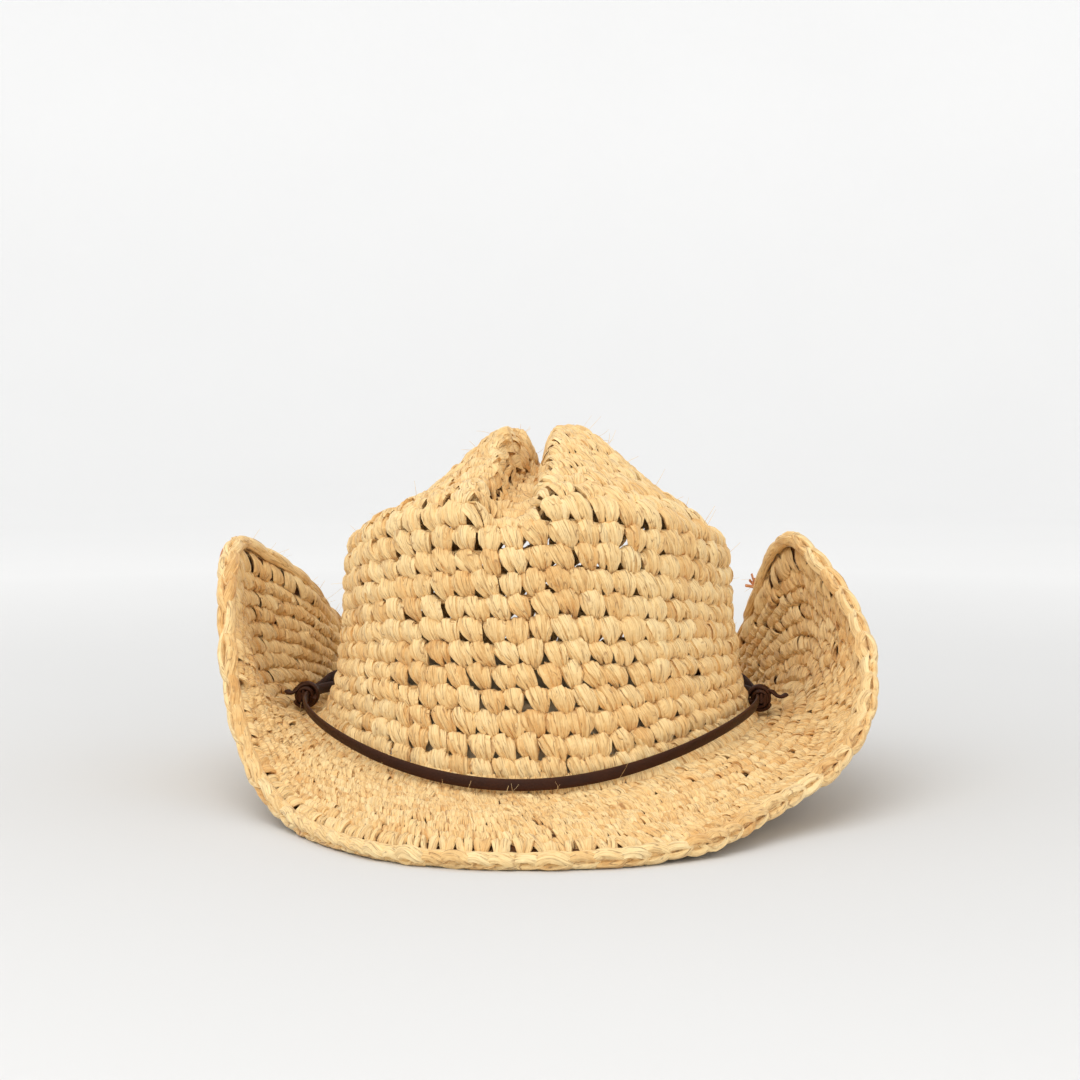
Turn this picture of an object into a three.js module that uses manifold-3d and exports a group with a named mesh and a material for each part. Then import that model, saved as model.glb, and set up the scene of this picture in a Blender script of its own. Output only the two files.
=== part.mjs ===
// Crocheted raffia cowboy hat with a sliding-knot leather lace.
// Millimetres, +Z up, the front of the hat faces -Y, the origin is on the floor under the middle of the hat.
import * as THREE from "three";
import Module from "manifold-3d";
import { mergeVertices } from "three/addons/utils/BufferGeometryUtils.js";

const wasm = await Module();
wasm.setup();

// ---------------------------------------------------------------- driving dimensions

const GAP = 0.4; // clearance left between neighbouring pieces

// Crown: an oval wall that flares at its foot, and a top with a centre crease.
const CROWN = {
  halfWidth: 81,
  halfLength: 97,
  thickness: 4.6,
  footTaper: 4,
  footFlare: 8,
  footFlarePower: 4,
  shoulderSide: 106,
  shoulderFront: 130,
  shoulderBack: 112,
  shoulderPower: 1.3,
  peak: 176,
  forwardTilt: 0.1,
  ridgeTop: 156.5,
  ridgeRounding: 7,
  fallLeft: 1.47,
  fallRight: 1.15,
  fallBlend: 4,
  creaseFloorFront: 115,
  creaseFloorMiddle: 135,
  creaseFloorBack: 112,
  creaseFloorPower: 1.7,
  creaseWideFront: 18,
  creaseWideBack: 8,
  creaseRise: 30,
  creasePower: 3.8,
  creaseLean: 8,
};

// Head line: where the crown turns into the brim. It stands higher at the sides than at the ends.
const HEAD_LINE = { sideHeight: 27, endHeight: 13, dipPower: 2.5, roundBelow: 0.06, roundAbove: 0.05 };

// Brim: its edge is an oval that rises to a blunt flap at the left and to a pointed flap at the right.
const BRIM = {
  thickness: 4.2,
  edgeHalfLength: 188,
  startSlopeEnd: -8,
  startSlopeSide: 0,
  edgeSlopeEnd: -26,
  bend: 0.5,
  edgeGap: 1.9,
};
const FLAP_RIGHT = {
  halfWidth: 148, pullIn: 44, pullInAt: 8, pullInOver: 14,
  waist: 0.095, waistAt: -46, waistReach: 14,
  height: 109, peakAngle: 18, slope: 118,
  frontReach: 35, frontPower: 1.5, backReach: 17, backPower: 0.85,
};
const FLAP_LEFT = {
  halfWidth: 137, pullIn: 24, pullInAt: 11, pullInOver: 5,
  waist: 0.14, waistAt: -48, waistReach: 24,
  height: 105, peakAngle: 5, slope: 84,
  frontReach: 25, frontPower: 2.2, backReach: 34, backPower: 1.12,
};
const PEAK_ROUNDING = 5; // degrees over which a flap's highest point is rounded

// Edging: a chained round with a wire in its core.
const EDGING = { radius: 4, core: 2.1, slotHalfAngle: 28, floorCut: 3, frameAt: 0.97, frameStep: 0.004 };
const WIRE = { radius: 0.7, endGapAngle: 0.6 };
const SLEEVE = { radius: 1.5, bore: 1.1, halfAngle: 2.4 };

// Sweatband inside the head opening.
const SWEATBAND = { from: 0.08, to: 0.38, thickness: 1.2 };
const TAPE = { from: 0.15, to: 0.36, halfAngle: 5, thickness: 0.8 };
const STITCHING = { at: 0.115, radius: 0.45 };

// Leather lace: flat, standing on edge round the foot of the crown.
const LACE = {
  shift: -3,
  halfWidth: 100,
  halfLength: 115,
  width: 4.8,
  thickness: 1.8,
  sideHeight: 10.6,
  endHeight: 5.2,
  doubleRise: 5,
  doubleStep: 2.2,
  endAngle: 0.15,
  riseFrom: 11,
  riseTo: 24,
  stepFrom: 24,
  stepTo: 36,
};
const KNOT = { halfLength: 6.2, halfDepth: 5.6, halfHeight: 5.8, passHeight: 2.8, passPlay: 0.6, passAngle: 14 };
const TAIL = { width: 4.4, thickness: 1.8 };
const TAIL_RIGHT = { length: 9, pitch: 12 };
const TAIL_LEFT = { length: 7, pitch: 18 }; // clears the flap over the knot's whole slide

// Loose ends of the edging strand.
const TUFT = { angle: 24, radius: 3.2, length: 7 };
const LOOP = { angle: 176, reach: 6.5, height: 20, radius: 0.9, stations: 8 };

// Mesh fineness.
const AROUND = 56;
const EDGE_STATIONS = 64;
const ROUNDING = 0.07; // half of the stretch over which every corner of the profile is rounded
const ROUNDING_SAMPLES = 7;

// ---------------------------------------------------------------- small helpers

const radians = THREE.MathUtils.degToRad;
const mix = THREE.MathUtils.lerp;
const clamp = THREE.MathUtils.clamp;

function softMin(a, b, width) {
  const share = clamp(0.5 + (0.5 * (b - a)) / width, 0, 1);
  return mix(b, a, share) - width * share * (1 - share);
}

// Rises smoothly from 0 to 1 as the value goes from well below 0 to well above it.
function rise(value) {
  return 0.5 + 0.5 * Math.tanh(value);
}

function ease(value, from, to) {
  return THREE.MathUtils.smoothstep(value, from, to);
}

function range(count, from, to) {
  return Array.from({ length: count + 1 }, (_, i) => mix(from, to, i / count));
}

// ---------------------------------------------------------------- the hat's surface

function headLineHeight(angle) {
  const end = Math.abs(Math.sin(angle)) ** HEAD_LINE.dipPower;
  return mix(HEAD_LINE.sideHeight, HEAD_LINE.endHeight, end);
}

function shoulderHeight(angle) {
  const front = Math.max(0, -Math.sin(angle)) ** CROWN.shoulderPower;
  const back = Math.max(0, Math.sin(angle)) ** CROWN.shoulderPower;
  return CROWN.shoulderSide
    + (CROWN.shoulderFront - CROWN.shoulderSide) * front
    + (CROWN.shoulderBack - CROWN.shoulderSide) * back;
}

// Height of the crown's top at a share `out` of the way from its middle to its shoulder.
function topHeight(angle, out) {
  const along = out * Math.sin(angle);
  const fromCrease = CROWN.halfWidth * out * Math.cos(angle) - CROWN.creaseLean * along;
  const fall = mix(CROWN.fallLeft, CROWN.fallRight, rise(CROWN.fallBlend * Math.cos(angle)));
  const shoulder = shoulderHeight(angle);
  const tilt = 1 - CROWN.forwardTilt * along;
  const dome = shoulder + (CROWN.peak - shoulder) * tilt * (1 - out) ** fall;
  const floorEnd = along < 0 ? CROWN.creaseFloorFront : CROWN.creaseFloorBack;
  const floor = mix(CROWN.creaseFloorMiddle, floorEnd, Math.abs(along) ** CROWN.creaseFloorPower);
  const halfWidth = mix(CROWN.creaseWideBack, CROWN.creaseWideFront, clamp(-along, 0, 1));
  const crease = floor + CROWN.creaseRise * Math.abs(fromCrease / halfWidth) ** CROWN.creasePower;
  const ridge = softMin(dome, CROWN.ridgeTop, CROWN.ridgeRounding);
  return softMin(ridge, crease, CROWN.ridgeRounding);
}

function crownPoint(angle, climb) {
  if (climb > 1) {
    const out = 2 - climb;
    return new THREE.Vector3(
      CROWN.halfWidth * out * Math.cos(angle),
      CROWN.halfLength * out * Math.sin(angle),
      topHeight(angle, out),
    );
  }
  const low = 1 - climb;
  const spread = CROWN.footTaper * low + CROWN.footFlare * low ** CROWN.footFlarePower;
  return new THREE.Vector3(
    (CROWN.halfWidth + spread) * Math.cos(angle),
    (CROWN.halfLength + spread) * Math.sin(angle),
    mix(headLineHeight(angle), topHeight(angle, 1), climb),
  );
}

// How far a flap is lifted, 0 to 1, at an angle of -90 (front) to 90 (back) degrees round from its side.
function flapLift(flap, side) {
  let lift = 0;
  const shifts = range(4, -PEAK_ROUNDING, PEAK_ROUNDING);
  for (const shift of shifts) {
    const from = side + shift - flap.peakAngle;
    const reach = from < 0 ? flap.frontReach : flap.backReach;
    const power = from < 0 ? flap.frontPower : flap.backPower;
    lift += Math.exp(-((Math.abs(from) / reach) ** power)) / shifts.length;
  }
  return lift * (1 - (Math.abs(side) / 90) ** 4);
}

function brimEdge(angle) {
  const c = Math.cos(angle);
  const s = Math.sin(angle);
  const side = THREE.MathUtils.radToDeg(Math.asin(clamp(s, -1, 1)));
  const flap = c >= 0 ? FLAP_RIGHT : FLAP_LEFT;
  const lift = flapLift(flap, side);
  const pulled = rise((side - flap.pullInAt) / flap.pullInOver) * (1 - (side / 90) ** 2);
  const waist = 1 - flap.waist * Math.exp(-(((side - flap.waistAt) / flap.waistReach) ** 2));
  const point = new THREE.Vector3(
    (flap.halfWidth - flap.pullIn * pulled) * waist * c,
    BRIM.edgeHalfLength * s,
    EDGING.floorCut + flap.height * lift,
  );
  return { point, lift, flap };
}

// A point of the brim, from 0 at the head line to 1 at the middle of the edging.
function brimPoint(angle, reach) {
  const start = crownPoint(angle, 0);
  const { point: end, lift, flap } = brimEdge(angle);
  const a = CROWN.halfWidth + CROWN.footTaper + CROWN.footFlare;
  const b = CROWN.halfLength + CROWN.footTaper + CROWN.footFlare;
  const outward = new THREE.Vector3(Math.cos(angle) / a, Math.sin(angle) / b, 0).normalize();
  const startSlope = radians(mix(BRIM.startSlopeEnd, BRIM.startSlopeSide, Math.cos(angle) ** 2));
  const endSlope = radians(mix(BRIM.edgeSlopeEnd, flap.slope, Math.sqrt(lift)));
  const handle = start.distanceTo(end) * BRIM.bend;
  const leave = outward.clone().multiplyScalar(Math.cos(startSlope)).setZ(Math.sin(startSlope));
  const arrive = outward.clone().multiplyScalar(Math.cos(endSlope)).setZ(Math.sin(endSlope));
  const near = start.clone().addScaledVector(leave, handle);
  const far = end.clone().addScaledVector(arrive, -handle);
  return new THREE.CubicBezierCurve3(start, near, far, end).getPoint(reach);
}

// The whole profile before its corners are rounded: -1 is the brim's edge, 0 the head line, 1 the
// crown's shoulder and 2 the middle of its top.
function rawPoint(angle, travel) {
  if (travel > 2) return rawPoint(angle + Math.PI, 4 - travel);
  return travel < 0 ? brimPoint(angle, -travel) : crownPoint(angle, travel);
}

// The middle of the raffia's thickness.
function hatPoint(angle, travel) {
  const half = Math.min(ROUNDING, travel + 1);
  if (half <= 0) return rawPoint(angle, travel);
  const sum = new THREE.Vector3();
  for (const step of range(ROUNDING_SAMPLES - 1, -half, half)) sum.add(rawPoint(angle, travel + step));
  return sum.divideScalar(ROUNDING_SAMPLES);
}

// The direction out of the raffia: up on the brim, outwards on the crown wall, up on its top.
function hatNormal(angle, travel) {
  const da = 0.01;
  const dt = Math.min(0.01, (travel + 1) / 2 + 1e-4);
  const across = hatPoint(angle + da, travel).sub(hatPoint(angle - da, travel));
  const along = hatPoint(angle, travel + dt).sub(hatPoint(angle, Math.max(travel - dt, -1)));
  const normal = across.cross(along).normalize();
  return normal.lerp(new THREE.Vector3(0, 0, 1), ease(travel, 1.02, 1.25)).normalize();
}

function offsetPoint(angle, travel, distance) {
  return hatPoint(angle, travel).addScaledVector(hatNormal(angle, travel), distance);
}

// ---------------------------------------------------------------- meshes from rows of points

// Six times the volume inside the triangles, below zero when they face inwards.
function signedVolume(points, triangles) {
  let sum = 0;
  for (let i = 0; i < triangles.length; i += 3) {
    const [a, b, c] = [0, 1, 2].map((k) => points[triangles[i + k]]);
    sum += a.dot(b.clone().cross(c));
  }
  return sum;
}

function geometryOf(points, triangles) {
  const geometry = new THREE.BufferGeometry();
  geometry.setAttribute("position", new THREE.Float32BufferAttribute(points.flatMap((p) => [p.x, p.y, p.z]), 3));
  geometry.setIndex(signedVolume(points, triangles) < 0 ? [...triangles].reverse() : triangles);
  geometry.computeVertexNormals();
  return geometry;
}

// A closed skin over rows of points. Each row closes on itself, and the rows go all the way round when
// `ring` is true; otherwise the first and the last row are filled.
function skin(rows, ring) {
  const width = rows[0].length;
  const triangles = [];
  const last = ring ? rows.length : rows.length - 1;
  for (let j = 0; j < last; j++) {
    for (let i = 0; i < width; i++) {
      const a = j * width + i;
      const b = j * width + ((i + 1) % width);
      const c = ((j + 1) % rows.length) * width + i;
      const d = ((j + 1) % rows.length) * width + ((i + 1) % width);
      triangles.push(a, b, d, a, d, c);
    }
  }
  if (!ring) {
    const end = (rows.length - 1) * width;
    for (let i = 1; i < width - 1; i++) triangles.push(0, i + 1, i, end, end + i, end + i + 1);
  }
  return geometryOf(rows.flat(), triangles);
}

// A sheet of raffia or cloth that follows the hat between two travels, as far as `middle` from the
// middle of the raffia and `thickness` thick. Its rows are the angles round the hat.
function sheet({ travels, thickness, middle = 0, angles = null }) {
  const outer = middle + thickness / 2;
  const inner = middle - thickness / 2;
  const all = angles ?? range(AROUND, 0, 2 * Math.PI).slice(0, AROUND);
  const rows = all.map((angle) => {
    const list = typeof travels === "function" ? travels(angle) : travels;
    const front = list.map((t) => offsetPoint(angle, t, outer));
    const back = list.map((t) => offsetPoint(angle, t, inner)).reverse();
    return [...front, ...back];
  });
  return skin(rows, angles === null);
}

// The closed top: a sheet whose rows shrink to one point in the middle.
function cap({ travels, thickness }) {
  const angles = range(AROUND, 0, 2 * Math.PI).slice(0, AROUND);
  const half = thickness / 2;
  const profile = [...travels.map((t) => [t, half]), ...[...travels].reverse().map((t) => [t, -half])];
  const points = profile.flatMap(([t, d]) => angles.map((angle) => offsetPoint(angle, t, d)));
  const triangles = [];
  for (let j = 0; j < profile.length; j++) {
    if (j === travels.length - 1) continue; // the two innermost rows are closed by the fans below
    const next = (j + 1) % profile.length;
    for (let i = 0; i < AROUND; i++) {
      const k = (i + 1) % AROUND;
      const a = j * AROUND + i;
      const b = j * AROUND + k;
      const c = next * AROUND + i;
      const d = next * AROUND + k;
      triangles.push(a, b, d, a, d, c);
    }
  }
  const inmost = travels.length - 1;
  for (const [row, side] of [[inmost, 1], [inmost + 1, -1]]) {
    const middle = points.length;
    points.push(offsetPoint(0, 2, side * half));
    for (let i = 0; i < AROUND; i++) {
      const a = row * AROUND + i;
      const b = row * AROUND + ((i + 1) % AROUND);
      triangles.push(...(side > 0 ? [a, b, middle] : [b, a, middle]));
    }
  }
  return geometryOf(points, triangles);
}

// The frame at the brim's edge: along it, out of it, and across it.
function edgeFrame(angle) {
  const step = EDGING.frameStep;
  const centre = brimEdge(angle).point;
  const along = brimEdge(angle + step).point.sub(brimEdge(angle - step).point).normalize();
  const outward = centre.clone().sub(brimPoint(angle, EDGING.frameAt));
  outward.addScaledVector(along, -outward.dot(along)).normalize();
  const across = new THREE.Vector3().crossVectors(outward, along);
  return { centre, along, outward, across };
}

// A bar with a fixed cross-section that follows the brim's edge.
function edgeBar(section, angles, ring) {
  const rows = angles.map((angle) => {
    const { centre, outward, across } = edgeFrame(angle);
    return section.map(([u, v]) => centre.clone().addScaledVector(outward, u).addScaledVector(across, v));
  });
  return skin(rows, ring);
}

function arc(radius, from, to, count) {
  return range(count, radians(from), radians(to)).map((a) => [radius * Math.cos(a), radius * Math.sin(a)]);
}

function circle(radius, count) {
  return arc(radius, 0, 360, count).slice(0, count);
}

function solidOf(geometry) {
  const plain = geometry.clone();
  plain.deleteAttribute("normal");
  plain.deleteAttribute("uv");
  const merged = mergeVertices(plain, 1e-4);
  return new wasm.Manifold(new wasm.Mesh({
    numProp: 3,
    vertProperties: new Float32Array(merged.attributes.position.array),
    triVerts: new Uint32Array(merged.index.array),
  }));
}

function geometryFrom(solid) {
  const mesh = solid.getMesh();
  const geometry = new THREE.BufferGeometry();
  geometry.setAttribute("position", new THREE.BufferAttribute(new Float32Array(mesh.vertProperties), 3));
  geometry.setIndex(new THREE.BufferAttribute(new Uint32Array(mesh.triVerts), 1));
  geometry.computeVertexNormals();
  return geometry;
}

// ---------------------------------------------------------------- materials

function finish(color, roughness, metalness = 0) {
  return new THREE.MeshStandardMaterial({ color, roughness, metalness });
}

const RAFFIA = finish("#ecc487", 0.75);
const RAFFIA_LIGHT = finish("#f8d8a0", 0.75);
const RAFFIA_ORANGE = finish("#d98a4a", 0.8);
const LEATHER = finish("#452a1e", 0.55);
const STEEL = finish("#b8bcc0", 0.35, 1);
const ALUMINIUM = finish("#d0d3d6", 0.4, 1);
const COTTON = finish("#e8dcc4", 0.9);
const THREAD = finish("#c9a06a", 0.8);

// ---------------------------------------------------------------- raffia pieces

const seam = GAP / 90; // a clearance as a share of the profile, whose four stretches are all about 90 long
const SHOULDER_SEAM = 0.008; // wider, because the crease makes the shoulder uneven

function crownWall() {
  const travels = range(5, HEAD_LINE.roundAbove + seam, 1 - SHOULDER_SEAM);
  return sheet({ travels, thickness: CROWN.thickness });
}

const START_RING = 1.945; // travel at which the start ring meets the crown's tip

function crownTip() {
  const travels = [...range(5, 1 + SHOULDER_SEAM, 1.6), ...range(5, 1.68, START_RING - seam)];
  return sheet({ travels, thickness: CROWN.thickness });
}

function crownStartRing() {
  return cap({ travels: [START_RING, START_RING + 0.03], thickness: CROWN.thickness });
}

function headLineRound() {
  const travels = range(2, -HEAD_LINE.roundBelow, HEAD_LINE.roundAbove);
  return sheet({ travels, thickness: CROWN.thickness });
}

function brim() {
  const travels = (angle) => {
    const step = 0.1;
    const speed = brimPoint(angle, 1 - step).distanceTo(brimEdge(angle).point) / step;
    const stop = (EDGING.radius + BRIM.edgeGap) / speed;
    return range(6, stop - 1, -HEAD_LINE.roundBelow - seam);
  };
  return sheet({ travels, thickness: BRIM.thickness });
}

function brimEdging() {
  const open = 180 - EDGING.slotHalfAngle;
  const section = [...arc(EDGING.radius, -open, open, 7), ...arc(EDGING.core, open, -open, 6)];
  const angles = range(EDGE_STATIONS, 0, 2 * Math.PI).slice(0, EDGE_STATIONS);
  const bar = solidOf(edgeBar(section, angles, true));
  const size = 3 * BRIM.edgeHalfLength; // big enough to cut away everything below the floor
  const floor = new THREE.BoxGeometry(size, size, size).translate(0, 0, -size / 2);
  return geometryFrom(bar.subtract(solidOf(floor)));
}

const BACK = 90; // degrees round from the right side to the back of the hat

function brimWire() {
  const stations = range(EDGE_STATIONS, radians(BACK), radians(BACK + 360)).slice(1, EDGE_STATIONS);
  const ends = [radians(BACK + WIRE.endGapAngle), radians(BACK + 360 - WIRE.endGapAngle)];
  return edgeBar(circle(WIRE.radius, 5), [ends[0], ...stations, ends[1]], false);
}

function wireSleeve() {
  const angles = range(4, radians(BACK - SLEEVE.halfAngle), radians(BACK + SLEEVE.halfAngle));
  const outside = solidOf(edgeBar(circle(SLEEVE.radius, 12), angles, false));
  const longer = range(4, radians(BACK - 2 * SLEEVE.halfAngle), radians(BACK + 2 * SLEEVE.halfAngle));
  return geometryFrom(outside.subtract(solidOf(edgeBar(circle(SLEEVE.bore, 12), longer, false))));
}

function edgingEndTuft() {
  const { centre, outward } = edgeFrame(radians(TUFT.angle));
  const profile = [[0, 0], [0.7, 0.1], [1, 0.4], [0.8, 0.75], [0, 1]];
  const shape = profile.map(([r, h]) => new THREE.Vector2(r * TUFT.radius, h * TUFT.length));
  const tuft = new THREE.LatheGeometry(shape, 10);
  const turn = new THREE.Quaternion().setFromUnitVectors(new THREE.Vector3(0, 1, 0), outward);
  const place = centre.clone().addScaledVector(outward, EDGING.radius + GAP);
  return tuft.applyQuaternion(turn).translate(place.x, place.y, place.z);
}

function edgingEndLoop() {
  const { centre, across } = edgeFrame(radians(LOOP.angle));
  const foot = centre.clone().addScaledVector(across, -(EDGING.radius + GAP + LOOP.radius));
  const away = new THREE.Vector3(-1, 0, 0);
  const points = range(LOOP.stations, 0, Math.PI).map((a) => foot.clone()
    .addScaledVector(away, LOOP.reach * Math.sin(a))
    .add(new THREE.Vector3(0, 0, (LOOP.height / 2) * (Math.cos(a) - 1))));
  const rows = points.map((point, i) => {
    const ahead = points[Math.min(i + 1, LOOP.stations)].clone().sub(points[Math.max(i - 1, 0)]).normalize();
    const sideways = new THREE.Vector3(0, 1, 0);
    const third = new THREE.Vector3().crossVectors(ahead, sideways).normalize();
    return circle(LOOP.radius, 6).map(([u, v]) => point.clone()
      .addScaledVector(sideways, u).addScaledVector(third, v));
  });
  return skin(rows, false);
}

// ---------------------------------------------------------------- sweatband

const BAND_MIDDLE = -(CROWN.thickness / 2 + GAP + SWEATBAND.thickness / 2);
const BAND_INSIDE = BAND_MIDDLE - SWEATBAND.thickness / 2;

function sweatband() {
  const travels = range(2, SWEATBAND.from, SWEATBAND.to);
  return sheet({ travels, thickness: SWEATBAND.thickness, middle: BAND_MIDDLE });
}

function sweatbandBackTape() {
  return sheet({
    travels: range(2, TAPE.from, TAPE.to),
    thickness: TAPE.thickness,
    middle: BAND_INSIDE - GAP - TAPE.thickness / 2,
    angles: range(3, radians(BACK - TAPE.halfAngle), radians(BACK + TAPE.halfAngle)),
  });
}

function sweatbandStitching() {
  const depth = BAND_INSIDE - GAP - STITCHING.radius;
  const rows = range(AROUND, 0, 2 * Math.PI).slice(0, AROUND).map((angle) => {
    const centre = offsetPoint(angle, STITCHING.at, depth);
    const inward = hatNormal(angle, STITCHING.at);
    const upward = new THREE.Vector3(0, 0, 1);
    return circle(STITCHING.radius, 4).map(([u, v]) => centre.clone()
      .addScaledVector(upward, u).addScaledVector(inward, v));
  });
  return skin(rows, true);
}

// ---------------------------------------------------------------- leather lace

// A point of the lace, `out` and `up` from its own line.
function lacePoint(angle, out, up) {
  const outward = new THREE.Vector3(
    Math.cos(angle) / LACE.halfWidth, Math.sin(angle) / LACE.halfLength, 0,
  ).normalize();
  const lift = mix(LACE.sideHeight, LACE.endHeight, Math.abs(Math.sin(angle)) ** HEAD_LINE.dipPower);
  return new THREE.Vector3(
    LACE.halfWidth * Math.cos(angle),
    LACE.halfLength * Math.sin(angle),
    headLineHeight(angle) + lift + up,
  ).addScaledVector(outward, out);
}

// A strand between two angles in degrees; `shift` gives how far it stands out and up at each angle.
function strand(from, to, count, shift) {
  const t = LACE.thickness / 2;
  const w = LACE.width / 2;
  const rows = range(count, from, to).map((degrees) => {
    const { out, up } = shift(degrees);
    return [[-t, -w], [-t, w], [t, w], [t, -w]].map(([o, u]) => lacePoint(radians(degrees), out + o, up + u));
  });
  return skin(rows, false);
}

function single() {
  return { out: 0, up: 0 };
}

// The second strand leaves a knot outside the first, rises clear of it, and then lies above it.
function double(degrees) {
  const fromKnot = Math.min(degrees, 180 - degrees);
  return {
    out: LACE.doubleStep * (1 - ease(fromKnot, LACE.stepFrom, LACE.stepTo)),
    up: LACE.doubleRise * ease(fromKnot, LACE.riseFrom, LACE.riseTo),
  };
}

// The knots slide round the circle that fits the lace's oval at its side.
const SLIDE_RADIUS = LACE.halfLength ** 2 / LACE.halfWidth;
const KNOT_HEIGHT = HEAD_LINE.sideHeight + LACE.sideHeight;
const KNOT_OUT = 1.1; // the knot's middle lies between the two strands that it holds

function knot(side) {
  const ball = new THREE.SphereGeometry(1, 12, 8)
    .scale(KNOT.halfDepth, KNOT.halfLength, KNOT.halfHeight)
    .translate(side * (LACE.halfWidth + KNOT_OUT), 0, KNOT_HEIGHT);
  const axis = side * (LACE.halfWidth - SLIDE_RADIUS);
  const inside = SLIDE_RADIUS - LACE.thickness / 2 - KNOT.passPlay;
  const outside = SLIDE_RADIUS + LACE.doubleStep + LACE.thickness / 2 + KNOT.passPlay;
  const span = radians(KNOT.passAngle);
  const h = KNOT.passHeight;
  const rows = range(6, -span / 2, span / 2).map((a) => [[inside, -h], [inside, h], [outside, h], [outside, -h]]
    .map(([r, z]) => new THREE.Vector3(axis + side * r * Math.cos(a), side * r * Math.sin(a), KNOT_HEIGHT + z)));
  return geometryFrom(solidOf(ball).subtract(solidOf(skin(rows, false))));
}

function tail(side, { length, pitch }) {
  const reach = KNOT_OUT + KNOT.halfDepth + GAP;
  return new THREE.BoxGeometry(length, TAIL.width, TAIL.thickness)
    .translate(length / 2, 0, 0)
    .rotateY(-radians(pitch))
    .translate(LACE.halfWidth + reach, 0, KNOT_HEIGHT)
    .rotateZ(side > 0 ? 0 : Math.PI);
}

// ---------------------------------------------------------------- the assembly

function named(name, geometry, material) {
  const mesh = new THREE.Mesh(geometry, material);
  mesh.name = name;
  return mesh;
}

const body = new THREE.Group();
body.add(
  named("crown_tip", crownTip(), RAFFIA),
  named("crown_start_ring", crownStartRing(), RAFFIA_LIGHT),
  named("crown_wall", crownWall(), RAFFIA_LIGHT),
  named("head_line_round", headLineRound(), RAFFIA),
  named("brim", brim(), RAFFIA),
  named("brim_edging", brimEdging(), RAFFIA_LIGHT),
  named("brim_wire", brimWire(), STEEL),
  named("wire_sleeve", wireSleeve(), ALUMINIUM),
  named("edging_end_tuft", edgingEndTuft(), RAFFIA_ORANGE),
  named("edging_end_loop", edgingEndLoop(), RAFFIA_ORANGE),
  named("sweatband", sweatband(), COTTON),
  named("sweatband_back_tape", sweatbandBackTape(), COTTON),
  named("sweatband_stitching", sweatbandStitching(), THREAD),
);

const end = LACE.endAngle;
const hatband = new THREE.Group();
hatband.add(
  named("lace_front", strand(180 + end, 360 - end, 32, single), LEATHER),
  named("lace_back_lower", strand(end, 180 - end, 32, single), LEATHER),
  named("lace_back_upper", strand(1, 179, 40, double), LEATHER),
);

const knots = new THREE.Group();
knots.add(
  named("knot_left", knot(-1), LEATHER),
  named("tail_left", tail(-1, TAIL_LEFT), LEATHER),
  named("knot_right", knot(1), LEATHER),
  named("tail_right", tail(1, TAIL_RIGHT), LEATHER),
);

// The lace lies a little to the left of the crown's middle.
hatband.position.x = LACE.shift;
knots.position.x = LACE.shift;

const hat = new THREE.Group();
hat.add(body, hatband, knots);

export default hat;
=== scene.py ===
"""A crocheted raffia cowboy hat with a leather lace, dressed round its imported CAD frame.

The hat's surface is worked out again here from the frame's boxes and a few shape numbers, in
millimetres, and every stitch is a strand of real geometry laid on that surface. A place on the hat is
an angle round it and a height: -1 is the brim's edge, 0 the head line, 1 the middle of the crown's
top, and equal steps of height are nearly equal lengths of raffia along that angle.
"""
import math

import bpy
import numpy as np
from mathutils import Euler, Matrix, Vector


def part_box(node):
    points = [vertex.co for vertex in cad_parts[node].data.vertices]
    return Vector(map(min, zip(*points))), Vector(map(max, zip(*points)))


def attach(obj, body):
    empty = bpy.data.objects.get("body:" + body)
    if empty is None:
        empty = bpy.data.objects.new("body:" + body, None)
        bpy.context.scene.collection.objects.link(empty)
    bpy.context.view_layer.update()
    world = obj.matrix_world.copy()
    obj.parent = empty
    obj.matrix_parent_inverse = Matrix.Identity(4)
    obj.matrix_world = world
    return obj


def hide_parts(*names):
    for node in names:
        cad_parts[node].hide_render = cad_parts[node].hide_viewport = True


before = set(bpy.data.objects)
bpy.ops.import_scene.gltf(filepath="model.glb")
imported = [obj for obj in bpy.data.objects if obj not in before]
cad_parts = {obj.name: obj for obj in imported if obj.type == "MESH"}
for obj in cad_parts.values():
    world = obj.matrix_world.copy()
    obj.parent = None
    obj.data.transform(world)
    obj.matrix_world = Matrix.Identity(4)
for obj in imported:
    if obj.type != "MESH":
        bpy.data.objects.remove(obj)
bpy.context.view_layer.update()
rng = np.random.default_rng(11)
MM = 0.001


def box_mm(node):
    low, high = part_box(node)
    return np.array(low) / MM, np.array(high) / MM


# ---------------------------------------------------------------- sizes, in millimetres

tip_high = box_mm("crown_tip")[1]
edge_high = box_mm("brim_edging")[1]
lace_low, lace_high = box_mm("lace_front")

CROWN_HALF_WIDTH = round(tip_high[0])
CROWN_HALF_LENGTH = round(tip_high[1])
FOOT_TAPER, FOOT_FLARE, FOOT_FLARE_POWER = 4, 8, 4
SHOULDER_SIDE, SHOULDER_FRONT, SHOULDER_BACK = 106, 130, 112
PEAK, FORWARD_TILT, RIDGE_TOP = 176, 0.1, 156.5
FALL_LEFT, FALL_RIGHT = 1.47, 1.15
CREASE_FRONT, CREASE_MIDDLE, CREASE_BACK = 115, 135, 112
CREASE_WIDE_FRONT, CREASE_WIDE_BACK, CREASE_RISE, CREASE_POWER, CREASE_LEAN = 18, 8, 30, 3.8, 8
RIDGE_ROUNDING = 7
HEAD_SIDE, HEAD_END, HEAD_POWER = 27, 13, 2.5

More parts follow.
